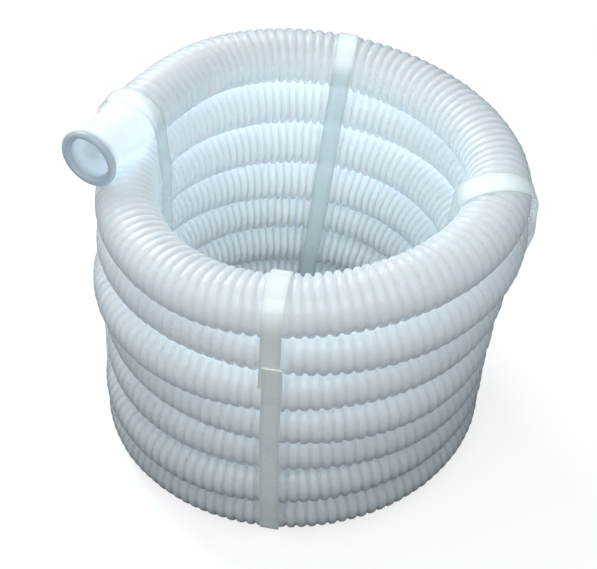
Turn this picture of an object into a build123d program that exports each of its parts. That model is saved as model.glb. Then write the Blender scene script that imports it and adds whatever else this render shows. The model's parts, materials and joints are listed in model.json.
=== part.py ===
from build123d import *
import math
import os

os.makedirs("parts", exist_ok=True)

# Coiled vacuum hose for pools and spas, tied with four flat bands, a swivel cuff on each end.
# Millimetres, +Z up, front towards -Y. The coil stands on its bands at z = 0, with the origin
# under the middle of the whole bundle.

# ---------------------------------------------------------------- hose dimensions
hose_od = 48.0  # over the crests of the ribs
hose_bore = 38.0  # 1 1/2 in hose
squash = 0.893  # height / width of the hose section inside the tied coil
hose_wall = (hose_od - hose_bore) / 2

# half width and half height of the flattened section
outer_half_width, outer_half_height = hose_od / 2, squash * hose_od / 2
bore_half_width, bore_half_height = hose_bore / 2, outer_half_height - hose_wall

# ---------------------------------------------------------------- cuff dimensions
# Positions are measured outwards along the hose axis from the end face of the hose.
spigot_length = 14.0
spigot_r = 15.5  # enters the flattened bore
spigot_chamfer = 0.6
collar_bore_r = 13.5
flange_start, flange_end = 0.05, 2.0
flange_r = 21.9
journal_r = 17.0
journal_end = 11.0
groove_start, groove_end = 5.4, 7.2
groove_r = 15.75
snap_rim_r = 18.2
snap_rim_land = 0.8  # full-radius part of the snap rim
snap_rim_end = 13.4
snap_rim_taper = 0.6  # the tip of the rim is this far below the journal

seal_section_r = 0.62
seal_gap = 0.02  # seal ring to groove floor

turn_gap = 0.06  # radial running clearance of cuff on collar
end_gap = 0.08  # axial clearance of the cuff bead to flange and snap rim
relief_gap = 0.3  # radial clearance of the cuff over the snap rim
cuff_root_r = 21.9
cuff_waist_r = 18.1
cuff_bore_r = 16.3  # for a 32 mm spigot
land_start, land_end = 45.0, 58.0  # where that bore runs
neck_bore_r = 16.9
mouth_r = 17.4
lip_ring_r = 20.5
lip_roll_r = 3.1
cuff_length = 62.0

# ---------------------------------------------------------------- band dimensions
band_width = 15.0
band_thick = 1.0
band_gap = 0.8  # band to hose
lap_low, lap_high = -64.0, -38.0  # overlap of the front band, heights from the top turn
lap_shift = 3.0  # sideways, as the two ends of the front band don't lie quite on each other
lap_reach = 120.0  # the overlap is cut from the outline up to this far outwards

# How the outline of a band is sampled from the hose.
path_steps = 2400
angle_step = 10  # degrees round the hose section
outline_extra = 0.1  # added to the band gap
edge_margin = 1.5  # hose considered beyond each edge of the band
side_window = 30  # stations further than this from the band's middle plane are skipped
inward_window = 60  # and those further than this inside the coil
straightness = 0.02  # outline corners that turn no more than this are dropped

# ---------------------------------------------------------------- survey of the coil
# where the origin sits in the survey
origin_x, origin_y, floor_z = -13.7, 42.6, -315.85

# Centre line of the coil (x, y, z), one station for every 30 degrees from the upper end down.
# The turns are hand wound, so they lean, bulge and sit a little unevenly.
stations = [
    (-69.5, 120.3, 5.6), (-0.6, 138.5, -4.2), (67.1, 119.4, -14.9), (118.0, 70.9, -24.4),
    (138.6, 2.5, -28.9), (119.8, -67.2, -27.6), (66.8, -116.3, -27.2), (-2.7, -134.8, -27.7),
    (-74.7, -119.3, -27.1), (-126.4, -65.7, -25.9), (-142.5, 5.8, -27.2), (-124.1, 75.6, -32.8),
    (-74.0, 127.2, -40.5), (-4.9, 147.2, -49.7), (65.7, 130.8, -59.5), (120.3, 81.1, -67.8),
    (140.7, 9.0, -72.7), (118.5, -62.6, -74.0), (64.2, -112.7, -73.1), (-7.0, -128.6, -71.2),
    (-75.8, -107.4, -69.6), (-127.6, -57.6, -69.5), (-148.5, 12.2, -71.8), (-129.1, 82.4, -77.0),
    (-77.5, 132.4, -85.3), (-9.1, 150.8, -94.8), (59.2, 133.3, -103.6), (108.7, 83.3, -110.7),
    (127.1, 15.4, -115.8), (110.0, -53.7, -118.5), (58.4, -103.5, -117.2), (-11.3, -122.1, -114.5),
    (-83.2, -106.4, -113.2), (-137.8, -54.6, -112.9), (-156.9, 18.6, -114.6), (-135.6, 90.1, -119.7),
    (-82.0, 139.2, -128.3), (-13.4, 155.6, -138.3), (53.8, 137.7, -147.1), (101.5, 88.0, -154.0),
    (119.8, 21.8, -159.0), (105.5, -47.0, -161.7), (55.1, -98.8, -160.9), (-15.5, -115.4, -158.1),
    (-84.1, -94.2, -155.8), (-134.2, -43.6, -155.7), (-154.1, 25.1, -158.0), (-137.2, 95.0, -163.0),
    (-87.4, 147.6, -170.9), (-17.6, 167.5, -180.5), (51.8, 148.1, -190.0), (100.0, 96.1, -197.5),
    (117.2, 28.3, -202.4), (100.6, -40.3, -204.7), (49.0, -89.1, -203.2), (-19.8, -104.6, -200.5),
    (-87.6, -86.4, -199.2), (-138.7, -37.3, -199.3), (-158.4, 31.5, -201.3), (-140.6, 101.0, -206.2),
    (-90.7, 152.4, -214.1), (-21.9, 171.8, -223.9), (47.1, 153.8, -233.5), (98.1, 103.8, -241.5),
    (116.5, 34.7, -246.3), (96.3, -33.8, -247.7), (44.2, -81.8, -246.9), (-24.0, -99.5, -245.7),
    (-93.9, -83.5, -244.9), (-146.7, -33.0, -244.0), (-165.4, 37.9, -244.7), (-145.7, 107.9, -249.1),
    (-95.1, 159.0, -257.3), (-26.1, 178.3, -267.5), (43.2, 160.8, -277.4), (95.6, 111.3, -285.9),
    (114.6, 41.1, -290.5), (92.4, -27.6, -290.7), (39.2, -74.1, -290.7), (-28.3, -88.8, -290.8),
    (-94.6, -70.9, -290.3), (-146.4, -23.9, -289.5), (-169.4, 44.4, -289.6),
]
upper_tangent_point = (-114.5, 71.5, 12.9)
lower_tangent_point = (-155.0, 111.5, -290.4)
upper_heading, upper_slope = 238.0, 1.8  # degrees, the way the upper end points
lower_heading, lower_slope = 64.0, 2.4
# distances from the tangent point: a point on the straight, and the end of the hose
upper_midway, upper_straight = 15, 36.6
lower_midway, lower_straight = 36, 76.0

# Each band: a point on the top turn and one on the bottom turn that it crosses, and the way
# out of the coil there, in degrees.
band_places = {
    "front_band": ((-32.3, -133.3, -27.6), (-47.9, -86.9, -290.7), 258.5),
    "right_band": ((132.6, -32.0, -28.3), (108.0, 72.0, -288.3), 8.0),
    "back_band": ((31.2, 134.2, -9.3), (-6.9, 177.2, -270.2), 80.0),
    "left_band": ((-136.0, 37.0, 10.9), (-166.0, 66.0, -289.9), 152.0),
}


def place(point):
    """Survey point to model frame."""
    return Vector(point[0] - origin_x, point[1] - origin_y, point[2] - floor_z)


def pointing(heading, slope):
    """Unit vector from a heading and an upward slope in degrees."""
    turn, climb = math.radians(heading), math.radians(slope)
    return Vector(
        math.cos(turn) * math.cos(climb), math.sin(turn) * math.cos(climb), math.sin(climb)
    )


def save(part, name):
    part.label = name
    export_step(part, f"parts/{name}.step")


# ---------------------------------------------------------------- centre line of the hose
upper_aim = pointing(upper_heading, upper_slope)
lower_aim = pointing(lower_heading, lower_slope)
upper_start = place(upper_tangent_point)
lower_start = place(lower_tangent_point)

coil_points = (
    [upper_start + upper_aim * upper_straight, upper_start + upper_aim * upper_midway]
    + [place(station) for station in stations]
    + [lower_start, lower_start + lower_aim * lower_midway]
    + [lower_start + lower_aim * lower_straight]
)
lift = Vector(0, 0, 20)  # the raised copy keeps the hose section upright along the sweep

with BuildLine() as coil_line:
    Spline(*coil_points)
with BuildLine() as upright_line:
    Spline(*[point + lift for point in coil_points])

coil_path = coil_line.wires()[0]
upright_path = upright_line.wires()[0]
upper_end = coil_path @ 0
upper_out = -(coil_path % 0)  # the way the spline really leaves the upper end


# ---------------------------------------------------------------- hose
def make_hose():
    """One tube from end to end, its section a little flattened by the bands."""
    start_plane = Plane(
        origin=upper_end,
        x_dir=Vector(0, 0, 1).cross(-upper_out).normalized(),
        z_dir=-upper_out,
    )
    with BuildPart() as hose:
        with BuildSketch(start_plane):
            Ellipse(outer_half_width, outer_half_height)
            Ellipse(bore_half_width, bore_half_height, mode=Mode.SUBTRACT)
        sweep(path=coil_path, binormal=upright_path)
    return hose.part


# ---------------------------------------------------------------- cuffs at both ends
def cuff_plane(end_face):
    """Local X runs out along the hose axis from the end face, local Y is the radius."""
    square_out = end_face.normal_at()
    return Plane(
        origin=end_face.center(),
        x_dir=square_out,
        z_dir=Vector(0, 0, 1).cross(square_out).normalized(),
    )


def make_collar(plane):
    """Hard collar: spigot glued in the hose, flange, journal with a seal groove, snap rim."""
    with BuildPart() as collar:
        with BuildSketch(plane):
            Polygon(
                (-spigot_length, collar_bore_r),
                (-spigot_length, spigot_r - spigot_chamfer),
                (-spigot_length + spigot_chamfer, spigot_r),
                (flange_start, spigot_r), (flange_start, flange_r),
                (flange_end, flange_r), (flange_end, journal_r),
                (groove_start, journal_r), (groove_start, groove_r),
                (groove_end, groove_r), (groove_end, journal_r),
                (journal_end, journal_r), (journal_end, snap_rim_r),
                (journal_end + snap_rim_land, snap_rim_r),
                (snap_rim_end, journal_r - snap_rim_taper), (snap_rim_end, collar_bore_r),
                align=None,
            )
        revolve(axis=Axis(plane.origin, plane.x_dir))
    return collar.part


def make_seal(plane):
    """Soft seal ring in the groove of the journal."""
    with BuildPart() as seal:
        with BuildSketch(plane):
            with Locations(((groove_start + groove_end) / 2, groove_r + seal_gap + seal_section_r)):
                Circle(seal_section_r)
        revolve(axis=Axis(plane.origin, plane.x_dir))
    return seal.part


def make_cuff(plane):
    """Swivel cuff: bead running on the journal, relief over the snap rim, tapered body, a
    straight land for the spigot just inside the rolled lip, a slightly wider neck behind it."""
    bead_start = flange_end + end_gap
    relief_start = journal_end - end_gap
    bead_r = journal_r + turn_gap
    relief_r = snap_rim_r + relief_gap
    lip_x = cuff_length - lip_roll_r
    with BuildPart() as cuff:
        with BuildSketch(plane):
            Polygon(
                # outside, from the flange to the lip
                (bead_start, bead_r), (bead_start, cuff_root_r - 0.4),
                (flange_end + 0.6, cuff_root_r), (8.0, cuff_root_r - 0.35), (24.0, 20.0),
                (36.0, cuff_waist_r + 0.25), (42.0, cuff_waist_r), (47.0, cuff_waist_r + 0.5),
                (52.0, lip_ring_r), (lip_x, lip_ring_r),
                # inside, back again
                (lip_x, mouth_r), (land_end, cuff_bore_r), (land_start, cuff_bore_r),
                (land_start - 1.0, neck_bore_r), (24.0, neck_bore_r), (17.0, relief_r),
                (relief_start, relief_r), (relief_start, bead_r),
                align=None,
            )
            with Locations((lip_x, lip_ring_r)):
                Circle(lip_roll_r)
        revolve(axis=Axis(plane.origin, plane.x_dir))
    return cuff.part


# ---------------------------------------------------------------- bands
def hull(points):
    """Convex outline of points in a plane: the way a taut band lies round what it ties."""
    points = sorted(set(points))

    def half(sequence):
        chain = []
        for point in sequence:
            while len(chain) > 1 and (
                (chain[-1][0] - chain[-2][0]) * (point[1] - chain[-2][1])
                - (chain[-1][1] - chain[-2][1]) * (point[0] - chain[-2][0])
            ) <= straightness:
                chain.pop()
            chain.append(point)
        return chain[:-1]

    return half(points) + half(points[::-1])


def band_outline(plane, line_points):
    """Inner outline of a band, in its plane, round the hose surface that it crosses."""
    out, up, sideways = plane.x_dir, plane.y_dir, plane.z_dir
    half_width = outer_half_width + band_gap + outline_extra
    half_height = outer_half_height + band_gap + outline_extra
    touched = []
    for here, ahead in zip(line_points, line_points[1:]):
        centre = here - plane.origin
        if abs(centre.dot(sideways)) > side_window or centre.dot(out) < -inward_window:
            continue
        along = (ahead - here).normalized()
        level = Vector(0, 0, 1).cross(along).normalized()
        upright = along.cross(level)
        for degrees in range(angle_step // 2, 360, angle_step):
            angle = math.radians(degrees)
            spot = (
                centre
                + level * (half_width * math.cos(angle))
                + upright * (half_height * math.sin(angle))
            )
            if abs(spot.dot(sideways)) < band_width / 2 + edge_margin:
                touched.append((round(spot.dot(out), 3), round(spot.dot(up), 3)))
    return hull(touched)


def make_band(top_point, bottom_point, heading, line_points, lapped):
    """Closed flat band; its plane has X out of the coil and Y up from bottom to top turn."""
    top, bottom = place(top_point), place(bottom_point)
    rise = (top - bottom).normalized()
    sideways = pointing(heading, 0).cross(rise).normalized()
    out = rise.cross(sideways).normalized()
    plane = Plane(origin=bottom, x_dir=out, z_dir=sideways)
    outline = band_outline(plane, line_points)

    with BuildPart() as band:
        with BuildSketch(plane):
            with BuildLine():
                Polyline(*outline, close=True)
            make_face()
            offset(amount=band_thick, kind=Kind.ARC)
            with BuildLine():
                Polyline(*outline, close=True)
            make_face(mode=Mode.SUBTRACT)
        extrude(amount=band_width / 2, both=True)
        if lapped:
            # the welded overlap: the end of the band lies on its own start
            top_height = (top - bottom).dot(plane.y_dir)
            with BuildSketch(plane.offset(lap_shift)):
                with BuildLine():
                    Polyline(*outline, close=True)
                make_face()
                offset(amount=2 * band_thick, kind=Kind.ARC)
                with BuildLine():
                    Polyline(*outline, close=True)
                make_face(mode=Mode.SUBTRACT)
                with Locations((lap_reach / 2, top_height + (lap_low + lap_high) / 2)):
                    Rectangle(lap_reach, lap_high - lap_low, mode=Mode.INTERSECT)
            extrude(amount=band_width / 2, both=True)
    return band.part


# ---------------------------------------------------------------- build and save
hose_part = make_hose()
save(hose_part, "hose")

end_faces = hose_part.faces().filter_by(GeomType.PLANE).sort_by(Axis.Z)
for end, end_face in (("upper", end_faces[-1]), ("lower", end_faces[0])):
    axis_plane = cuff_plane(end_face)
    save(make_collar(axis_plane), end + "_cuff_collar")
    save(make_seal(axis_plane), end + "_cuff_seal_ring")
    save(make_cuff(axis_plane), end + "_swivel_cuff")

# dense points along the whole hose, carried on past its upper end over the cuff
hose_points = [upper_end + upper_out * distance for distance in (30, 12)]
hose_points += [coil_path.position_at(i / path_steps) for i in range(path_steps + 1)]

for band_name, (top_point, bottom_point, heading) in band_places.items():
    lapped = band_name == "front_band"
    save(make_band(top_point, bottom_point, heading, hose_points, lapped), band_name)
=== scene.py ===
import json
import math

import bpy
import numpy as np
from mathutils import Matrix, Vector
from mathutils.kdtree import KDTree


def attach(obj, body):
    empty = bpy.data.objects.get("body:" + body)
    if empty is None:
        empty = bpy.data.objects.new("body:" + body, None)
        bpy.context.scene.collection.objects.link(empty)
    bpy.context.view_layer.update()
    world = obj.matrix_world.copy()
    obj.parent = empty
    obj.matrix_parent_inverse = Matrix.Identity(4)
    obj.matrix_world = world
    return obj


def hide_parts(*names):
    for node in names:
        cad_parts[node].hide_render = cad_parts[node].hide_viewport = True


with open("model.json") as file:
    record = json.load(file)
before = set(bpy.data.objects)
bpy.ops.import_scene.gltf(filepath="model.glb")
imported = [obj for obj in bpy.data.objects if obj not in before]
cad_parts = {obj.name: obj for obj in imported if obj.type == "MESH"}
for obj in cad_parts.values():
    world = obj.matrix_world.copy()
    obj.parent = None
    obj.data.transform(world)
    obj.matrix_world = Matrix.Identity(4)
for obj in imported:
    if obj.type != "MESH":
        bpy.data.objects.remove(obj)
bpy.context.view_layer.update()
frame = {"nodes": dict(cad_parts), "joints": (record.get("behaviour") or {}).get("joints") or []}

MM = 0.001

# ---------------------------------------------------------------- sizes: hose
HOSE_LEVEL = 24.0 * MM  # outer radius in the level direction
HOSE_UPRIGHT = 0.893 * HOSE_LEVEL  # outer radius upright: the hose is a little flattened
BORE_INSET = 5.0 * MM  # from the crest of a rib in to the bore
BORE_RIPPLE = 0.25 * MM
GROOVE_DEPTH = 2.3 * MM
BEND_DEPTH = 0.36  # share by which a groove deepens inside a bend and fades outside it
RIB_PITCH = 7.6 * MM  # eased so that a whole number of ribs fits the hose
RIB_SPREAD_HIGH = 0.10  # mm, random height of a rib
RIB_SPREAD_SHIFT = 0.035  # shares of the pitch, random shift of a rib
PLAIN_END = 7 * MM  # ribs have faded out from PLAIN_END - PLAIN_FADE to the end
PLAIN_FADE = 3 * MM
PLAIN_DROP = 0.35 * MM
PARTS = 8  # the mesh of the hose is made in this many parts
AROUND = 44  # vertices round the skin
AROUND_BORE = AROUND // 2  # vertices round the bore

# one rib from groove to groove: share of the pitch, share of the groove depth
RIB = np.array([
    (0.00, 1.00), (0.085, 0.93), (0.15, 0.66), (0.205, 0.34), (0.275, 0.14), (0.38, 0.03),
    (0.50, 0.00), (0.62, 0.03), (0.725, 0.14), (0.795, 0.34), (0.85, 0.66), (0.915, 0.93),
])

# centre line, from the upper end down: x, y, z in mm, in a frame where ORIGIN is the
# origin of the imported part
ORIGIN = np.array([-13.7, 42.6, -315.85])
STATIONS = [
    (-69.5, 120.3, 5.6), (-0.6, 138.5, -4.2), (67.1, 119.4, -14.9), (118.0, 70.9, -24.4),
    (138.6, 2.5, -28.9), (119.8, -67.2, -27.6), (66.8, -116.3, -27.2), (-2.7, -134.8, -27.7),
    (-74.7, -119.3, -27.1), (-126.4, -65.7, -25.9), (-142.5, 5.8, -27.2), (-124.1, 75.6, -32.8),
    (-74.0, 127.2, -40.5), (-4.9, 147.2, -49.7), (65.7, 130.8, -59.5), (120.3, 81.1, -67.8),
    (140.7, 9.0, -72.7), (118.5, -62.6, -74.0), (64.2, -112.7, -73.1), (-7.0, -128.6, -71.2),
    (-75.8, -107.4, -69.6), (-127.6, -57.6, -69.5), (-148.5, 12.2, -71.8), (-129.1, 82.4, -77.0),
    (-77.5, 132.4, -85.3), (-9.1, 150.8, -94.8), (59.2, 133.3, -103.6), (108.7, 83.3, -110.7),
    (127.1, 15.4, -115.8), (110.0, -53.7, -118.5), (58.4, -103.5, -117.2), (-11.3, -122.1, -114.5),
    (-83.2, -106.4, -113.2), (-137.8, -54.6, -112.9), (-156.9, 18.6, -114.6), (-135.6, 90.1, -119.7),
    (-82.0, 139.2, -128.3), (-13.4, 155.6, -138.3), (53.8, 137.7, -147.1), (101.5, 88.0, -154.0),
    (119.8, 21.8, -159.0), (105.5, -47.0, -161.7), (55.1, -98.8, -160.9), (-15.5, -115.4, -158.1),
    (-84.1, -94.2, -155.8), (-134.2, -43.6, -155.7), (-154.1, 25.1, -158.0), (-137.2, 95.0, -163.0),
    (-87.4, 147.6, -170.9), (-17.6, 167.5, -180.5), (51.8, 148.1, -190.0), (100.0, 96.1, -197.5),
    (117.2, 28.3, -202.4), (100.6, -40.3, -204.7), (49.0, -89.1, -203.2), (-19.8, -104.6, -200.5),
    (-87.6, -86.4, -199.2), (-138.7, -37.3, -199.3), (-158.4, 31.5, -201.3), (-140.6, 101.0, -206.2),
    (-90.7, 152.4, -214.1), (-21.9, 171.8, -223.9), (47.1, 153.8, -233.5), (98.1, 103.8, -241.5),
    (116.5, 34.7, -246.3), (96.3, -33.8, -247.7), (44.2, -81.8, -246.9), (-24.0, -99.5, -245.7),
    (-93.9, -83.5, -244.9), (-146.7, -33.0, -244.0), (-165.4, 37.9, -244.7), (-145.7, 107.9, -249.1),
    (-95.1, 159.0, -257.3), (-26.1, 178.3, -267.5), (43.2, 160.8, -277.4), (95.6, 111.3, -285.9),
    (114.6, 41.1, -290.5), (92.4, -27.6, -290.7), (39.2, -74.1, -290.7), (-28.3, -88.8, -290.8),
    (-94.6, -70.9, -290.3), (-146.4, -23.9, -289.5), (-169.4, 44.4, -289.6),
]
# straight runs at the two ends of the hose: start (mm, as above), heading and slope in degrees
UPPER_START, UPPER_HEADING, UPPER_SLOPE = (-114.5, 71.5, 12.9), 238.0, 1.8
LOWER_START, LOWER_HEADING, LOWER_SLOPE = (-155.0, 111.5, -290.4), 64.0, 2.4
UPPER_RUN = (36.6 * MM, 15 * MM)  # distances of the path points out from the start
LOWER_RUN = (36 * MM, 76 * MM)

# ---------------------------------------------------------------- sizes: bands
BAND_WIDTH = 15.0 * MM
BAND_THICK = 0.8 * MM
BAND_CLEARANCE = 0.3 * MM
BAND_EASE = 0.3 * MM  # rounding of the long edges
BAND_STEP = 1.6 * MM
BAND_REACH = 60 * MM  # how far in from its foot a band takes in the hose

# top point and bottom point (mm, as the stations), heading in degrees of the side it is on
BANDS = {
    "front_band": ((-32.3, -133.3, -27.6), (-47.9, -86.9, -290.7), 258.5),
    "right_band": ((132.6, -32.0, -28.3), (108.0, 72.0, -288.3), 8.0),
    "back_band": ((31.2, 134.2, -9.3), (-6.9, 177.2, -270.2), 80.0),
    "left_band": ((-136.0, 37.0, 10.9), (-166.0, 66.0, -289.9), 152.0),
}


# ---------------------------------------------------------------- geometry helpers
def place(point_mm):
    """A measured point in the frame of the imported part, in metres."""
    return (np.array(point_mm, float) - ORIGIN) * MM


def pointing(heading, slope=0):
    """Unit vector for a heading from +X towards +Y and a slope upwards, in degrees."""
    turn, climb = math.radians(heading), math.radians(slope)
    level = math.cos(climb)
    return np.array([math.cos(turn) * level, math.sin(turn) * level, math.sin(climb)])


def unit(vectors):
    vectors = np.asarray(vectors, float)
    return vectors / np.linalg.norm(vectors, axis=-1, keepdims=True)


def running_length(points):
    return np.r_[0, np.cumsum(np.linalg.norm(np.diff(points, axis=0), axis=1))]


def ellipses(level, upright, level_radius, upright_radius, angles):
    """Offsets of rings of vertices from their centres: (rows, angles, 3)."""
    along_level = np.atleast_2d(level_radius * np.cos(angles))[..., None]
    along_upright = np.atleast_2d(upright_radius * np.sin(angles))[..., None]
    return level[:, None, :] * along_level + upright[:, None, :] * along_upright


def full_turn(count):
    return np.linspace(0, 2 * math.pi, count, endpoint=False)


class Curve:
    """Cubic spline through points, read by distance along it."""

    def __init__(self, points):
        points = np.array(points, float)
        knots = running_length(points)
        spans = np.diff(knots)
        count = len(knots)

        def end_slope(four, at):
            """Slope at one knot of the cubic through four points."""
            slope = np.zeros(3)
            for i in four:
                others = [j for j in four if j != i]
                below = np.prod([knots[i] - knots[j] for j in others])
                above = sum(
                    np.prod([at - knots[j] for j in others if j != skip]) for skip in others
                )
                slope += points[i] * above / below
            return slope

        matrix, wanted = np.zeros((count, count)), np.zeros((count, 3))
        matrix[0, 0] = matrix[-1, -1] = 1
        wanted[0] = end_slope(range(4), knots[0])
        wanted[-1] = end_slope(range(count - 4, count), knots[-1])
        for i in range(1, count - 1):
            before, after = spans[i - 1], spans[i]
            matrix[i, i - 1 : i + 2] = after, 2 * (before + after), before
            wanted[i] = 3 * (
                after * (points[i] - points[i - 1]) / before
                + before * (points[i + 1] - points[i]) / after
            )
        self.knots, self.spans, self.points = knots, spans, points
        self.slopes = np.linalg.solve(matrix, wanted)
        self.samples = np.linspace(0, knots[-1], 24001)
        self.distances = running_length(self._read(self.samples))
        self.length = self.distances[-1]

    def _read(self, where, slope=False):
        i = np.clip(np.searchsorted(self.knots, where, side="right") - 1, 0, len(self.spans) - 1)
        span = self.spans[i][:, None]
        x = (where - self.knots[i])[:, None] / span
        start, end = self.points[i], self.points[i + 1]
        leave, arrive = self.slopes[i] * span, self.slopes[i + 1] * span
        if slope:
            return (
                (6 * x**2 - 6 * x) * start + (3 * x**2 - 4 * x + 1) * leave
                + (6 * x - 6 * x**2) * end + (3 * x**2 - 2 * x) * arrive
            ) / span
        return (
            (2 * x**3 - 3 * x**2 + 1) * start + (x**3 - 2 * x**2 + x) * leave
            + (3 * x**2 - 2 * x**3) * end + (x**3 - x**2) * arrive
        )

    def at(self, distance):
        """Points, tangents, level directions and upright directions at distances along."""
        distance = np.asarray(distance, float)
        where = np.interp(distance, self.distances, self.samples)
        point, tangent = self._read(where), unit(self._read(where, slope=True))
        # beyond either end the curve runs on straight
        point = point + tangent * (distance - np.clip(distance, 0, self.length))[:, None]
        level = unit(np.cross([0, 0, 1.0], tangent))
        return point, tangent, level, np.cross(tangent, level)


def rounded(corners, steps=5):
    """A closed outline of (x, y, rounding) corners, with the corners eased."""
    outline = []
    for k, (x, y, ease) in enumerate(corners):
        corner = np.array([x, y])
        if ease <= 0:
            outline.append(corner)
            continue
        back = np.array(corners[k - 1][:2]) - corner
        ahead = np.array(corners[(k + 1) % len(corners)][:2]) - corner
        back_length, ahead_length = np.linalg.norm(back), np.linalg.norm(ahead)
        reach = min(ease, 0.48 * back_length, 0.48 * ahead_length)
        start = corner + back / back_length * reach
        end = corner + ahead / ahead_length * reach
        for i in range(steps + 1):
            t = i / steps
            outline.append((1 - t) ** 2 * start + 2 * t * (1 - t) * corner + t**2 * end)
    return np.array(outline)


# ---------------------------------------------------------------- mesh helpers
def grid_quads(rows, columns, first=0, wrap_rows=False, flip=False):
    """Quads of a grid of vertices numbered from first; the columns close into a ring."""
    i, j = np.meshgrid(np.arange(rows if wrap_rows else rows - 1), np.arange(columns), indexing="ij")
    next_i, next_j = (i + 1) % rows, (j + 1) % columns
    quads = np.stack(
        [i * columns + j, i * columns + next_j, next_i * columns + next_j, next_i * columns + j], -1
    ).reshape(-1, 4) + first
    return quads[:, ::-1] if flip else quads


def make_piece(
    name, verts, faces, body, materials, smooth_deg, values, replaces, face_materials=None
):
    """faces: arrays of polygons, each (count, corners).
    values: {attribute: one number or one vector per vertex}.
    """
    mesh = bpy.data.meshes.new(name)
    sizes = np.concatenate([np.full(len(part), part.shape[1]) for part in faces])
    corners = np.concatenate([part.ravel() for part in faces]).astype(np.int32)
    mesh.vertices.add(len(verts))
    mesh.vertices.foreach_set("co", verts.astype(np.float32).ravel())
    mesh.loops.add(len(corners))
    mesh.loops.foreach_set("vertex_index", corners)
    mesh.polygons.add(len(sizes))
    mesh.polygons.foreach_set("loop_start", np.r_[0, np.cumsum(sizes)[:-1]].astype(np.int32))
    mesh.update(calc_edges=True)
    mesh.validate()
    mesh.polygons.foreach_set("use_smooth", np.ones(len(mesh.polygons), bool))
    mesh.set_sharp_from_angle(angle=math.radians(smooth_deg))
    for key, data in values.items():
        kind, field = ("FLOAT_VECTOR", "vector") if data.ndim == 2 else ("FLOAT", "value")
        layer = mesh.attributes.new(key, kind, "POINT").data
        layer.foreach_set(field, data.astype(np.float32).ravel())
    for material in materials:
        mesh.materials.append(material)
    if face_materials is not None:
        mesh.polygons.foreach_set("material_index", face_materials)
    mesh.update()
    piece = bpy.data.objects.new(name, mesh)
    bpy.context.scene.collection.objects.link(piece)
    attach(piece, body)
    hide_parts(replaces)


# ---------------------------------------------------------------- material helpers
class Shader:
    """The node tree of a material or world. An input takes a value or a socket to link."""

    def __init__(self, owner, output):
        owner.use_nodes = True
        self.tree = owner.node_tree
        self.tree.nodes.clear()
        self.end = self.add(output)

    def add(self, kind, inputs=None, **settings):
        node = self.tree.nodes.new(kind)
        for key, value in settings.items():
            setattr(node, key, value)
        for key, value in (inputs or {}).items():
            socket = node.inputs[key]
            if isinstance(value, bpy.types.NodeSocket):
                self.tree.links.new(value, socket)
            elif socket.type == "RGBA":
                socket.default_value = (*value, 1.0)
            else:
                socket.default_value = value
        return node

    def surface(self, node):
        self.tree.links.new(node.outputs[0], self.end.inputs["Surface"])

    def noise(self, where, scale, detail=3, rough=0.55):
        inputs = {"Vector": where, "Scale": scale, "Detail": detail, "Roughness": rough}
        return self.add("ShaderNodeTexNoise", inputs).outputs["Fac"]

    def remap(self, value, span, to):
        inputs = {
            "Value": value, "From Min": span[0], "From Max": span[1],
            "To Min": to[0], "To Max": to[1],
        }
        return self.add("ShaderNodeMapRange", inputs).outputs["Result"]

    def mix(self, factor, a, b):
        inputs = {"Factor": factor, 6: a, 7: b}
        return self.add("ShaderNodeMix", inputs, data_type="RGBA").outputs[2]

    def math(self, operation, a, b):
        return self.add("ShaderNodeMath", {0: a, 1: b}, operation=operation).outputs[0]

    def plus(self, a, b):
        return self.math("ADD", a, b)

    def times(self, a, b):
        return self.math("MULTIPLY", a, b)

    def bump(self, height, strength, distance):
        inputs = {"Height": height, "Strength": strength, "Distance": distance}
        return self.add("ShaderNodeBump", inputs).outputs["Normal"]

    def attribute(self, name, output="Fac"):
        return self.add("ShaderNodeAttribute", attribute_name=name).outputs[output]

    def position(self):
        return self.add("ShaderNodeTexCoord").outputs["Object"]

    def height_of(self, vector):
        return self.add("ShaderNodeSeparateXYZ", {0: vector}).outputs["Z"]

    def by_ray(self, other, seen):
        """Show one shader to the camera and the other one to every other ray."""
        camera_ray = self.add("ShaderNodeLightPath").outputs["Is Camera Ray"]
        inputs = {0: camera_ray, 1: other.outputs[0], 2: seen.outputs[0]}
        self.surface(self.add("ShaderNodeMixShader", inputs))


def new_material(name):
    material = bpy.data.materials.new(name)
    return material, Shader(material, "ShaderNodeOutputMaterial")


# ---------------------------------------------------------------- materials
PAINTED_GLOW = (0.82, 0.92, 1.0)  # colour of the painted glow that stands in for light carried inside milky plastic


def milky_plastic(name, light, dull, rough=(0.30, 0.46), finish=None):
    """Soft milky plastic: cloudy colour, light carried a little way inside, satin skin.

    finish(shader, where, inputs) may change the inputs of the surface.
    """
    material, shader = new_material(name)
    where = shader.position()
    cloud = shader.noise(where, scale=14, detail=4, rough=0.6)
    colour = shader.mix(shader.remap(cloud, span=(0.35, 0.68), to=(0.0, 1.0)), light, dull)
    speck = shader.noise(where, scale=190, detail=5, rough=0.7)
    colour = shader.mix(shader.remap(speck, span=(0.56, 0.74), to=(0.0, 0.35)), colour, dull)
    patches = shader.noise(where, scale=60, detail=4, rough=0.6)
    fine = shader.noise(where, scale=420, detail=4, rough=0.6)
    coarse = shader.times(shader.noise(where, scale=45), 2.2)
    inputs = {
        "Base Color": colour,
        "Roughness": shader.remap(patches, span=(0.3, 0.7), to=rough),
        "Subsurface Weight": 1.0,
        "Subsurface Radius": (0.9, 1.0, 1.1),
        "Subsurface Scale": 0.014,
        "IOR": 1.48,
        "Coat Weight": 0.12,
        "Coat Roughness": 0.28,
        "Normal": shader.bump(shader.plus(fine, coarse), strength=0.35, distance=0.00025),
    }
    if finish:
        finish(shader, where, inputs)
    shader.surface(shader.add("ShaderNodeBsdfPrincipled", inputs))
    return material


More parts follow.
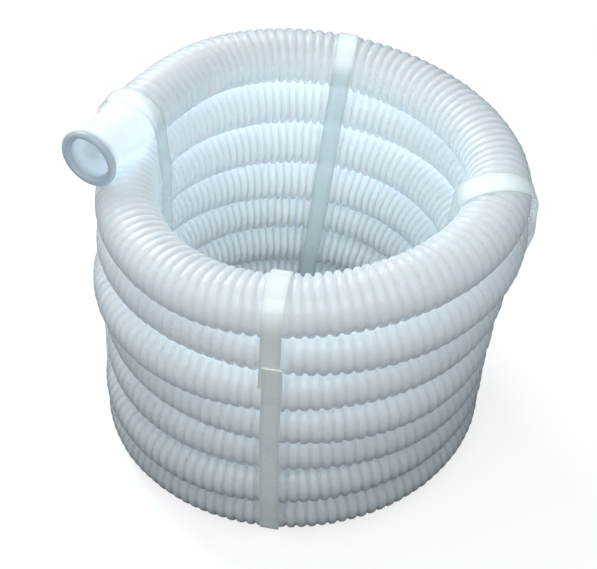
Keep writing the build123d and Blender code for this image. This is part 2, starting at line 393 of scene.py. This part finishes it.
def shaded_mouth_glowing_cuff(shader, where, inputs):
    """Painted shade and glow: the mouth and the inside of a cuff are painted greyer, and a painted
    glow lights the rest of the cuff much more than the mouth.
    """
    mouth_shade = shader.times(shader.attribute("mouth"), 0.85)
    inputs["Base Color"] = shader.mix(mouth_shade, inputs["Base Color"], (0.45, 0.475, 0.49))
    inputs["Emission Color"] = PAINTED_GLOW
    inputs["Emission Strength"] = shader.remap(
        shader.attribute("mouth"), span=(0, 1), to=(0.40, 0.02)
    )


def blurred_ribs_and_glow(shader, where, inputs):
    """Ribs half blurred by light inside the wall, under a glossy coat that shows them; a painted
    glow lifts the shade in the grooves, between turns and up the coil.
    """
    skin = inputs["Normal"]
    ribless = shader.add(
        "ShaderNodeVectorTransform", {"Vector": shader.attribute("even", "Vector")},
        vector_type="NORMAL", convert_from="OBJECT", convert_to="WORLD",
    ).outputs["Vector"]
    blend = shader.add(
        "ShaderNodeMix", {"Factor": 0.80, 4: skin, 5: ribless}, data_type="VECTOR"
    ).outputs[1]
    whole = shader.add("ShaderNodeVectorMath", {0: blend}, operation="NORMALIZE")
    # painted glow, standing in for light carried through the walls, fills the grooves and the gaps
    # between turns and lifts their shade
    gap_glow = shader.plus(
        shader.times(shader.attribute("tuck"), 0.7),
        shader.times(shader.math("POWER", shader.attribute("tuck"), 4.0), 0.55),
    )
    share = shader.plus(gap_glow, shader.times(shader.attribute("groove"), 0.55))
    share = shader.plus(share, 0.46)  # painted glow everywhere
    # more painted glow half way up the coil, and more towards the top
    height = shader.height_of(where)
    middle = shader.times(
        shader.remap(height, span=(0.06, 0.14), to=(0.0, 1.0)),
        shader.remap(height, span=(0.29, 0.33), to=(1.0, 0.0)),
    )
    share = shader.plus(share, shader.times(middle, 0.38))
    glow_by_height = shader.remap(height, span=(0.02, 0.32), to=(0.02, 0.23))
    inputs.update({
        "Normal": whole.outputs["Vector"],
        "Coat Normal": skin,
        "Coat Weight": 0.7,
        "Coat Roughness": 0.18,
        "Emission Color": PAINTED_GLOW,
        "Emission Strength": shader.times(share, glow_by_height),
    })


def hard_plastic(name, colour, other, rough, coat, scale, edge=None, alpha=1.0, painted_highlight=None):
    """Glossy plastic in two clouded tones. The last argument gives the painted glow of upright and
    of level faces, a painted highlight.
    """
    material, shader = new_material(name)
    where = shader.position()
    cloud = shader.noise(where, scale=scale, detail=4)
    tone = shader.mix(shader.remap(cloud, span=(0.35, 0.65), to=(0, 1)), colour, other)
    if edge:
        tone = shader.mix(shader.attribute("edge"), tone, edge)
    patches = shader.noise(where, scale=110, detail=4, rough=0.65)
    relief = shader.noise(where, scale=60, detail=4, rough=0.5)
    inputs = {
        "Base Color": tone,
        "Roughness": shader.remap(patches, span=(0.3, 0.7), to=rough),
        "Coat Weight": coat,
        "Coat Roughness": 0.12,
        "Subsurface Weight": 0.15,
        "Subsurface Radius": (1.0, 1.0, 0.9),
        "Subsurface Scale": 0.002,
        "Normal": shader.bump(relief, strength=0.25, distance=0.0005),
        "Alpha": alpha,
    }
    if painted_highlight:  # painted highlight: an emission makes the film gleam where it lies flat on top, and a painted glow where it hangs stands in for light passing through it
        facing = shader.add("ShaderNodeNewGeometry").outputs["True Normal"]
        inputs["Emission Color"] = (0.93, 1.0, 0.98)
        inputs["Emission Strength"] = shader.remap(
            shader.height_of(facing), span=(0.15, 0.95), to=painted_highlight
        )
    shader.surface(shader.add("ShaderNodeBsdfPrincipled", inputs))
    return material


def rubber(name):
    material, shader = new_material(name)
    where = shader.position()
    cloud = shader.noise(where, scale=220, detail=5)
    grain = shader.noise(where, scale=900)
    inputs = {
        "Base Color": shader.mix(cloud, (0.018, 0.018, 0.02), (0.05, 0.05, 0.052)),
        "Roughness": 0.62,
        "Normal": shader.bump(grain, strength=0.2, distance=0.0002),
    }
    shader.surface(shader.add("ShaderNodeBsdfPrincipled", inputs))
    return material


hose_wall = milky_plastic(
    "hose_wall", light=(0.845, 0.945, 0.995), dull=(0.80, 0.905, 0.965), finish=blurred_ribs_and_glow
)
hose_bore = milky_plastic("hose_bore", light=(0.84, 0.89, 0.93), dull=(0.78, 0.84, 0.88))
cuff_soft = milky_plastic(
    "cuff_soft", light=(0.85, 0.94, 0.985), dull=(0.82, 0.91, 0.96), rough=(0.26, 0.40),
    finish=shaded_mouth_glowing_cuff,
)
band_plastic = hard_plastic(
    "band_plastic", colour=(0.92, 0.93, 0.90), other=(0.86, 0.87, 0.84), rough=(0.16, 0.30),
    coat=0.8, scale=25, edge=(0.78, 0.80, 0.76), alpha=0.90, painted_highlight=(0.09, 0.20),
)
band_thin = hard_plastic(
    "band_plastic_thin", colour=(0.84, 0.88, 0.86), other=(0.79, 0.83, 0.81), rough=(0.16, 0.30),
    coat=0.8, scale=25, edge=(0.66, 0.69, 0.67), alpha=0.50, painted_highlight=(0.02, 0.50),
)
collar_hard = hard_plastic(
    "collar_hard", colour=(0.78, 0.80, 0.81), other=(0.73, 0.75, 0.77), rough=(0.22, 0.34),
    coat=0.2, scale=30,
)
seal = rubber("seal")

# ---------------------------------------------------------------- centre line of the hose
upper_start, lower_start = place(UPPER_START), place(LOWER_START)
upper_out = pointing(UPPER_HEADING, UPPER_SLOPE)
lower_out = pointing(LOWER_HEADING, LOWER_SLOPE)
path = Curve(
    [upper_start + upper_out * run for run in UPPER_RUN]
    + [place(station) for station in STATIONS]
    + [lower_start]
    + [lower_start + lower_out * run for run in LOWER_RUN]
)
ribs = int(round(path.length / RIB_PITCH))
pitch = path.length / ribs

# small unevenness of the winding: each rib its own height and place
rng = np.random.default_rng(7)
rib_high = rng.normal(0, RIB_SPREAD_HIGH, ribs + 1) * MM
rib_shift = rng.normal(0, RIB_SPREAD_SHIFT, ribs + 1)

angles = full_turn(AROUND)
angles_bore = full_turn(AROUND_BORE)
rib_distance = np.arange(ribs + 1) * pitch
line_distance = np.linspace(0, path.length, 6000)
line = path.at(line_distance)[0]


def find_tuck():
    """How closely other turns lie against the skin, 0 to 1: a row to a rib, a column to an angle."""
    search = 48 * MM
    open_gap = 60 * MM  # stands for no other turn in reach
    same_turn = 0.15  # metres of hose either way that don't count as another turn
    far, close = 38.5 * MM, 23.5 * MM  # gaps, skin to centre line, where the tuck is 0 and 1
    tree = KDTree(len(line))
    for i, point in enumerate(line):
        tree.insert(point, i)
    tree.balance()
    point, _, level, upright = path.at(rib_distance)
    skin = point[:, None, :] + ellipses(level, upright, HOSE_LEVEL, HOSE_UPRIGHT, angles)
    gap = np.empty((ribs + 1, AROUND))
    for i in range(ribs + 1):
        for j in range(AROUND):
            other_turns = (
                distance
                for _, k, distance in tree.find_range(skin[i, j], search)
                if abs(line_distance[k] - rib_distance[i]) > same_turn
            )
            gap[i, j] = min(other_turns, default=open_gap)
    return np.clip((far - gap) / (far - close), 0, 1) ** 1.3


tuck = find_tuck()


def band_frame(name):
    """Foot of a band, its sideways, outward and upward directions, and its height."""
    top_mm, bottom_mm, heading = BANDS[name]
    top, bottom = place(top_mm), place(bottom_mm)
    rise = unit(top - bottom)
    sideways = unit(np.cross(pointing(heading), rise))
    out = unit(np.cross(rise, sideways))
    upward = np.cross(sideways, out)
    return bottom, sideways, out, upward, (top - bottom) @ upward


# ---------------------------------------------------------------- hose
def hose_marks():
    """Ribs where the hose is parted: each under the front or the back band, out of sight."""
    covered = []
    for name in ("front_band", "back_band"):
        bottom, sideways, out, _, _ = band_frame(name)
        aside = (line - bottom) @ sideways
        crossing = aside[:-1] * aside[1:] <= 0
        band_side = (line[:-1] - bottom) @ out > -BAND_REACH
        covered.extend(line_distance[:-1][crossing & band_side])
    even = [k * path.length / PARTS for k in range(1, PARTS)]
    nearest = [min(covered, key=lambda s: abs(s - want)) for want in even]
    return [0] + [round(s / pitch) for s in nearest] + [ribs]


def hose_caps(rows, rows_bore):
    """The two end faces, from skin to bore: two skin vertices to each bore vertex."""
    quads, triangles = [], []
    for row, row_bore, order in ((0, 0, 1), (rows - 1, rows_bore - 1, -1)):
        for j in range(AROUND_BORE):
            o = [row * AROUND + (2 * j + d) % AROUND for d in (0, 1, 2)]
            first = rows * AROUND + row_bore * AROUND_BORE
            i = [first + (j + d) % AROUND_BORE for d in (0, 1)]
            quads.append([o[0], i[0], i[1], o[1]][::order])
            triangles.append([o[1], i[1], o[2]][::order])
    return np.array(quads), np.array(triangles)


def make_hose_part(number, first_rib, last_rib):
    share, depth = RIB.T
    rib = np.arange(first_rib, last_rib)
    shift = rib_shift[rib][:, None] * np.sin(math.pi * share)
    s = ((rib[:, None] + share + shift * share * (1 - share) * 2) * pitch).ravel()
    s = np.append(s, last_rib * pitch)  # distance along the hose, a value to a row
    dip = np.append(np.tile(depth, len(rib)), 1.0)[:, None]
    high = np.append((rib_high[rib][:, None] * (1 - depth)).ravel(), 0.0)[:, None]
    point, _, level, upright = path.at(s)

    # plain sleeve at the very ends of the hose, where the collars sit
    from_end = np.minimum(s, path.length - s)
    plain = np.clip((PLAIN_END - from_end) / PLAIN_FADE, 0, 1)[:, None]
    # +-1: which way the hose bends, from the turn of its tangent over 24 mm
    bend = path.at(s + 12 * MM)[1] - path.at(s - 12 * MM)[1]
    towards = np.clip((bend * level).sum(1) / 0.17, -1, 1)
    deepen = 1 + BEND_DEPTH * (towards[:, None] * np.cos(angles))
    drop = (GROOVE_DEPTH * deepen * dip - high) * (1 - plain) + PLAIN_DROP * plain
    skin = point[:, None, :] + ellipses(
        level, upright, HOSE_LEVEL - drop, HOSE_UPRIGHT - drop, angles
    )

    # the bore, two rows to a rib
    s_bore = np.arange(first_rib * 2, last_rib * 2 + 1) * pitch / 2
    point_bore, _, level_bore, upright_bore = path.at(s_bore)
    ripple = (BORE_RIPPLE * (np.arange(len(s_bore)) % 2))[:, None]
    bore = point_bore[:, None, :] + ellipses(
        level_bore, upright_bore,
        HOSE_LEVEL - BORE_INSET + ripple, HOSE_UPRIGHT - BORE_INSET + ripple, angles_bore,
    )

    # the way the skin faces with the ribs left out: light inside the wall blurs them away
    even = unit(ellipses(level, upright, 1 / HOSE_LEVEL, 1 / HOSE_UPRIGHT, angles))
    even_bore = -ellipses(level_bore, upright_bore, 1, 1, angles_bore)
    # groove and tuck are the masks of the painted glow that lifts the shade in the grooves and
    # between turns
    groove = (dip * (1 - plain)) ** 1.2 * deepen**1.8
    near = np.stack([np.interp(s, rib_distance, column) for column in tuck.T], 1)
    no_value = np.zeros(len(s_bore) * AROUND_BORE)

    skin_quads = grid_quads(len(s), AROUND)
    bore_quads = grid_quads(len(s_bore), AROUND_BORE, first=len(s) * AROUND, flip=True)
    faces = [skin_quads, bore_quads, *hose_caps(len(s), len(s_bore))]
    face_materials = np.repeat([0, 1, 0, 0], [len(part) for part in faces]).astype(np.int32)
    make_piece(
        f"hose_part_{number}", np.vstack([skin.reshape(-1, 3), bore.reshape(-1, 3)]), faces,
        body="coil", materials=[hose_wall, hose_bore], smooth_deg=65,
        values={
            "groove": np.r_[groove.ravel(), no_value],
            "even": np.vstack([even.reshape(-1, 3), even_bore.reshape(-1, 3)]),
            "tuck": np.r_[near.ravel(), no_value],
        },
        replaces="hose", face_materials=face_materials,
    )


marks = hose_marks()
for part in range(PARTS):
    make_hose_part(part + 1, marks[part], marks[part + 1])

# ---------------------------------------------------------------- cuffs
CUFF_AROUND = 112
CUFF_BORE = 16.9  # mm, radius of the bore behind the mouth
BEAD_X, BEAD_R, BEAD_RADIUS = 59.0, 20.5, 2.95  # mm, rounded bead round the mouth
bead_angles = np.radians(np.linspace(160, -40, 20))

# section of a cuff in mm, up the back, along the outside and back through the bore:
# distance out along the axis from the swivel joint, radius, rounding
CUFF = (
    [
        (2.08, 17.06, 0.0), (2.08, 21.5, 0.5), (2.9, 21.9, 0.8), (8.0, 21.6, 4.0),
        (24.0, 20.3, 8.0), (36.0, 18.9, 6.0), (43.0, 18.7, 4.0), (49.0, 19.2, 4.0),
        (53.4, 20.6, 1.8),
    ]
    + [
        (BEAD_X + BEAD_RADIUS * math.cos(a), BEAD_R + BEAD_RADIUS * math.sin(a), 0)
        for a in bead_angles
    ]
    + [
        (60.4, 17.9, 0.6), (58.4, 17.45, 0.6), (57.6, 16.3, 0.5), (52.0, 16.3, 0.0),
        (45.0, 16.3, 0.5), (44.0, CUFF_BORE, 0.5), (24.0, CUFF_BORE, 0.5), (17.0, 18.5, 0.5),
        (10.92, 18.5, 0.2), (10.92, 17.06, 0.2),
    ]
)


def make_cuff(end, joint, phase):
    """The section turned round the axis of the swivel joint."""
    x, radius = rounded(CUFF).T
    axis = unit(np.array(joint["axis"], float))
    first = unit(np.cross([0, 0, 1.0], axis))
    second = np.cross(axis, first)
    turn = full_turn(CUFF_AROUND)
    # a soft moulding is never quite round: a slow wave that dies out at the journal
    share = np.clip((x - 26) / 30, 0, 1) ** 2 * np.where(radius > CUFF_BORE, 1.0, 0.0)
    wave = 0.16 * np.cos(2 * turn + phase) + 0.07 * np.cos(5 * turn + 2 * phase)
    wavy = radius[:, None] * MM + share[:, None] * wave * MM
    around = first * np.cos(turn)[:, None] + second * np.sin(turn)[:, None]
    verts = (
        np.array(joint["pos_m"]) + axis * (x * MM)[:, None, None] + around * wavy[..., None]
    ).reshape(-1, 3)
    # the mouth mask: painted shade in the mouth and the bore, and less painted glow there
    mouth = np.clip((x - 50) / 8, 0, 1)
    inside = np.clip((18.6 - radius) / 1.6, 0, 1)
    make_piece(
        end + "_cuff_skin", verts, [grid_quads(len(x), CUFF_AROUND, wrap_rows=True, flip=True)],
        body=end + "_cuff", materials=[cuff_soft], smooth_deg=38,
        values={"mouth": np.repeat(np.maximum(mouth, 0.6 * inside), CUFF_AROUND)},
        replaces=end + "_swivel_cuff",
    )


joints = {joint["name"]: joint for joint in frame["joints"]}
for end, phase in (("upper", 0.6), ("lower", 2.1)):
    make_cuff(end, joints[end + "_cuff_swivel"], phase)
    for piece_name, material, slot in (
        ("_cuff_collar", collar_hard, "collar_hard"),
        ("_cuff_seal_ring", seal, "seal"),
    ):
        piece = frame["nodes"][end + piece_name]
        piece.data.materials.clear()
        piece.data.materials.append(material)

# ---------------------------------------------------------------- bands
# section of a band: across, outward, rounding
half_width = BAND_WIDTH / 2
BAND_SECTION = rounded(
    [
        (-half_width, 0, BAND_EASE), (-half_width / 2, 0, 0), (0, 0, 0), (half_width / 2, 0, 0),
        (half_width, 0, BAND_EASE), (half_width, BAND_THICK, BAND_EASE),
        (half_width / 2, BAND_THICK, 0), (0, BAND_THICK, 0), (-half_width / 2, BAND_THICK, 0),
        (-half_width, BAND_THICK, BAND_EASE),
    ],
    steps=3,
)

# the hose and a little beyond its ends, as the bands meet it
wrapped, _, wrapped_level, wrapped_upright = path.at(
    np.linspace(-30 * MM, path.length + 30 * MM, 3000)
)


def hull(points):
    """Convex hull of points in a plane, anticlockwise."""
    points = sorted(set(map(tuple, points)))

    def half(sequence):
        chain = []
        for p in sequence:
            while len(chain) > 1 and (
                (chain[-1][0] - chain[-2][0]) * (p[1] - chain[-2][1])
                - (chain[-1][1] - chain[-2][1]) * (p[0] - chain[-2][0])
            ) <= 0:
                chain.pop()
            chain.append(p)
        return chain[:-1]

    return np.array(half(points) + half(points[::-1]))


def band_loop(bottom, sideways, out, upward):
    """Line of a band pulled tight round the stack: (outward, upward) from its foot."""
    centres = wrapped - bottom
    close_by = (np.abs(centres @ sideways) < 30 * MM) & (centres @ out > -BAND_REACH)
    skin = centres[close_by][:, None, :] + ellipses(
        wrapped_level[close_by], wrapped_upright[close_by],
        HOSE_LEVEL + BAND_CLEARANCE, HOSE_UPRIGHT + BAND_CLEARANCE,
        np.radians(np.arange(0, 360, 5)),
    )
    skin = skin.reshape(-1, 3)
    skin = skin[np.abs(skin @ sideways) < half_width + 0.6 * MM]
    loop = hull(zip(np.round(skin @ out, 6), np.round(skin @ upward, 6)))
    # walk round it in even steps, corners softened
    closed = np.vstack([loop, loop[:1]])
    run = running_length(closed)
    steps = np.linspace(0, run[-1], int(run[-1] / BAND_STEP), endpoint=False)
    walk = np.stack([np.interp(steps, run, closed[:, c]) for c in (0, 1)], 1)
    shifts = np.arange(-4, 5)
    kernel = np.exp(-0.5 * (shifts * BAND_STEP / (2.4 * MM)) ** 2)
    kernel /= kernel.sum()
    return sum(weight * np.roll(walk, shift, axis=0) for weight, shift in zip(kernel, shifts))


def random_wave(random, turn, counts, size, fade=0):
    """Sum of waves, one for each count to the turn; with fade, higher counts are smaller."""
    return sum(
        random.normal(0, size) / k**fade * np.cos(k * turn + random.uniform(0, 6.28))
        for k in counts
    )


def lap_ends(loop, height):
    """Steps on the outer side where the lap begins and ends, 64 and 38 mm below the top."""
    outer_side = loop[:, 0] > loop[:, 0].mean()
    level = loop[:, 1] - height
    return [
        int(np.argmin(np.where(outer_side, np.abs(level + below), np.inf)))
        for below in (64 * MM, 38 * MM)
    ]


def make_band(name, seed):
    bottom, sideways, out, upward, height = band_frame(name)
    loop = band_loop(bottom, sideways, out, upward)
    count = len(loop)
    along = unit(np.roll(loop, -1, axis=0) - np.roll(loop, 1, axis=0))
    outward = np.stack([along[:, 1], -along[:, 0]], 1)  # the loop runs anticlockwise

    # free spans stand a hair off and wander sideways a little
    random = np.random.default_rng(seed)
    turn = np.arange(count) / count * 2 * math.pi
    drift = random_wave(random, turn, range(1, 5), size=0.35, fade=1) * MM
    lift = random_wave(random, turn, range(8, 22), size=0.5)
    lift = np.clip(lift, 0, 2.0) * 0.09 * MM
    twist = random_wave(random, turn, range(3, 9), size=0.010)

    lapped = name == "front_band"
    if lapped:
        # the welded lap: the end coming up from below lies outside the one coming down
        low, high = lap_ends(loop, height)
        step = np.arange(count + (high - low) % count + 1)
        order = (low + step) % count
        loop, outward = loop[order], outward[order]
        ramp = np.clip((step - (count - 12)) / 8.0, 0, 1)
        lift = lift[order] * 0.4 + ramp * (BAND_THICK + 0.12 * MM)
        # sideways, the two ends are shifted apart
        drift = (
            drift[order]
            - 1.6 * MM * np.clip((step - (count - 40)) / 40.0, 0, 1)
            + 1.4 * MM * np.clip(1 - step / 30.0, 0, 1)
        )
        twist = twist[order]

    across, thick = BAND_SECTION.T
    bow = 0.12 * MM * (1 - (across / half_width) ** 2)
    across_by = across + drift[:, None]
    out_by = thick + lift[:, None] + bow + np.abs(twist[:, None] * across)
    centre = bottom + out * loop[:, :1] + upward * loop[:, 1:]
    normal = out * outward[:, :1] + upward * outward[:, 1:]
    verts = (
        centre[:, None, :] + sideways * across_by[..., None] + normal[:, None, :] * out_by[..., None]
    ).reshape(-1, 3)
    rows, columns = len(loop), len(BAND_SECTION)
    faces = [grid_quads(rows, columns, wrap_rows=not lapped)]
    if lapped:
        first_ring = np.arange(columns)
        faces.append(np.stack([first_ring[::-1], first_ring + (rows - 1) * columns]))
    edge = (np.abs(across) > half_width - 0.35 * MM).astype(float)
    make_piece(
        name + "_strap", verts, faces, body="coil",
        materials=[band_plastic if lapped else band_thin], smooth_deg=50,
        values={"edge": np.tile(edge, rows)}, replaces=name,
    )


for number, name in enumerate(BANDS):
    make_band(name, seed=20 + number)


# ---------------------------------------------------------------- floor and world
def make_floor(radius=6, sides=64, drop=0.0006):
    """A disc just below the coil: bright to the camera, dark to the light it bounces."""
    rim = [2 * math.pi * k / sides for k in range(sides)]
    verts = [(0, 0, 0)] + [(radius * math.cos(a), radius * math.sin(a), 0) for a in rim]
    mesh = bpy.data.meshes.new("floor")
    mesh.from_pydata(verts, [], [(0, k + 1, (k + 1) % sides + 1) for k in range(sides)])
    floor = bpy.data.objects.new("floor", mesh)
    floor.location.z = -drop
    material, shader = new_material("studio_floor")
    bounced = shader.add("ShaderNodeBsdfDiffuse", {"Color": (0.15, 0.16, 0.17)})
    grey = shader.add("ShaderNodeBsdfDiffuse", {"Color": (0.44, 0.44, 0.44)})
    glow = shader.add("ShaderNodeEmission", {"Color": (1, 1, 1), "Strength": 0.72})
    seen = shader.add("ShaderNodeAddShader", {0: grey.outputs[0], 1: glow.outputs[0]})
    shader.by_ray(other=bounced, seen=seen)
    mesh.materials.append(material)
    bpy.context.scene.collection.objects.link(floor)


def make_world():
    """White to the camera, a soft bluish fill to everything else."""
    world = bpy.data.worlds.new("studio")
    bpy.context.scene.world = world
    shader = Shader(world, "ShaderNodeOutputWorld")
    white = shader.add("ShaderNodeBackground", {"Color": (1, 1, 1), "Strength": 1.0})
    fill = shader.add("ShaderNodeBackground", {"Color": (0.78, 0.90, 1.0), "Strength": 0.40})
    shader.by_ray(other=fill, seen=white)


make_floor()
make_world()


# ---------------------------------------------------------------- lights
def add_light(light, location):
    lamp = bpy.data.objects.new(light.name, light)
    lamp.location = location
    bpy.context.scene.collection.objects.link(lamp)
    return lamp


def softbox(name, location, target, size, power, colour):
    light = bpy.data.lights.new(name, "AREA")
    light.shape = "RECTANGLE"
    light.size, light.size_y = size
    light.energy = power
    light.color = colour
    lamp = add_light(light, location)
    lamp.rotation_mode = "QUATERNION"
    lamp.rotation_quaternion = (Vector(target) - Vector(location)).to_track_quat("-Z", "Y")


softbox(
    "overhead", location=(-0.55, 0.72, 1.15), target=(0, 0, 0.25), size=(0.7, 0.40),
    power=9.0, colour=(0.90, 0.965, 1.0),
)
softbox(
    "front_top", location=(-0.08, -0.95, 1.25), target=(0, -0.05, 0.30), size=(1.3, 0.9),
    power=8.3, colour=(0.89, 0.965, 1.0),
)
inside_glow = bpy.data.lights.new("inside_glow", "POINT")
inside_glow.energy = 0.05
inside_glow.shadow_soft_size = 0.08
inside_glow.color = (1.0, 0.97, 0.93)
add_light(inside_glow, location=(-0.01, 0.02, 0.11))


# ---------------------------------------------------------------- camera and render
def make_camera():
    """Looks down on the coil from the front."""
    lens = bpy.data.cameras.new("camera")
    lens.sensor_fit = "HORIZONTAL"
    lens.sensor_width = 36.0
    lens.lens = 84.5
    lens.clip_start, lens.clip_end = 0.01, 50
    right = (0.99836226, -0.03840571, -0.04240046)
    up = (0.05720837, 0.67023079, 0.73994452)
    back = (0.0, -0.74115834, 0.67133026)
    pose = Matrix((right, up, back)).transposed().to_4x4()
    pose.translation = (-0.0033, -0.8790, 0.9437)
    camera = bpy.data.objects.new("camera", lens)
    camera.matrix_world = pose
    bpy.context.scene.collection.objects.link(camera)
    bpy.context.scene.camera = camera


make_camera()
scene = bpy.context.scene
scene.cycles.max_bounces = 16
scene.cycles.diffuse_bounces = 12
scene.cycles.transmission_bounces = 12
scene.view_settings.view_transform = "Standard"
scene.view_settings.look = "None"
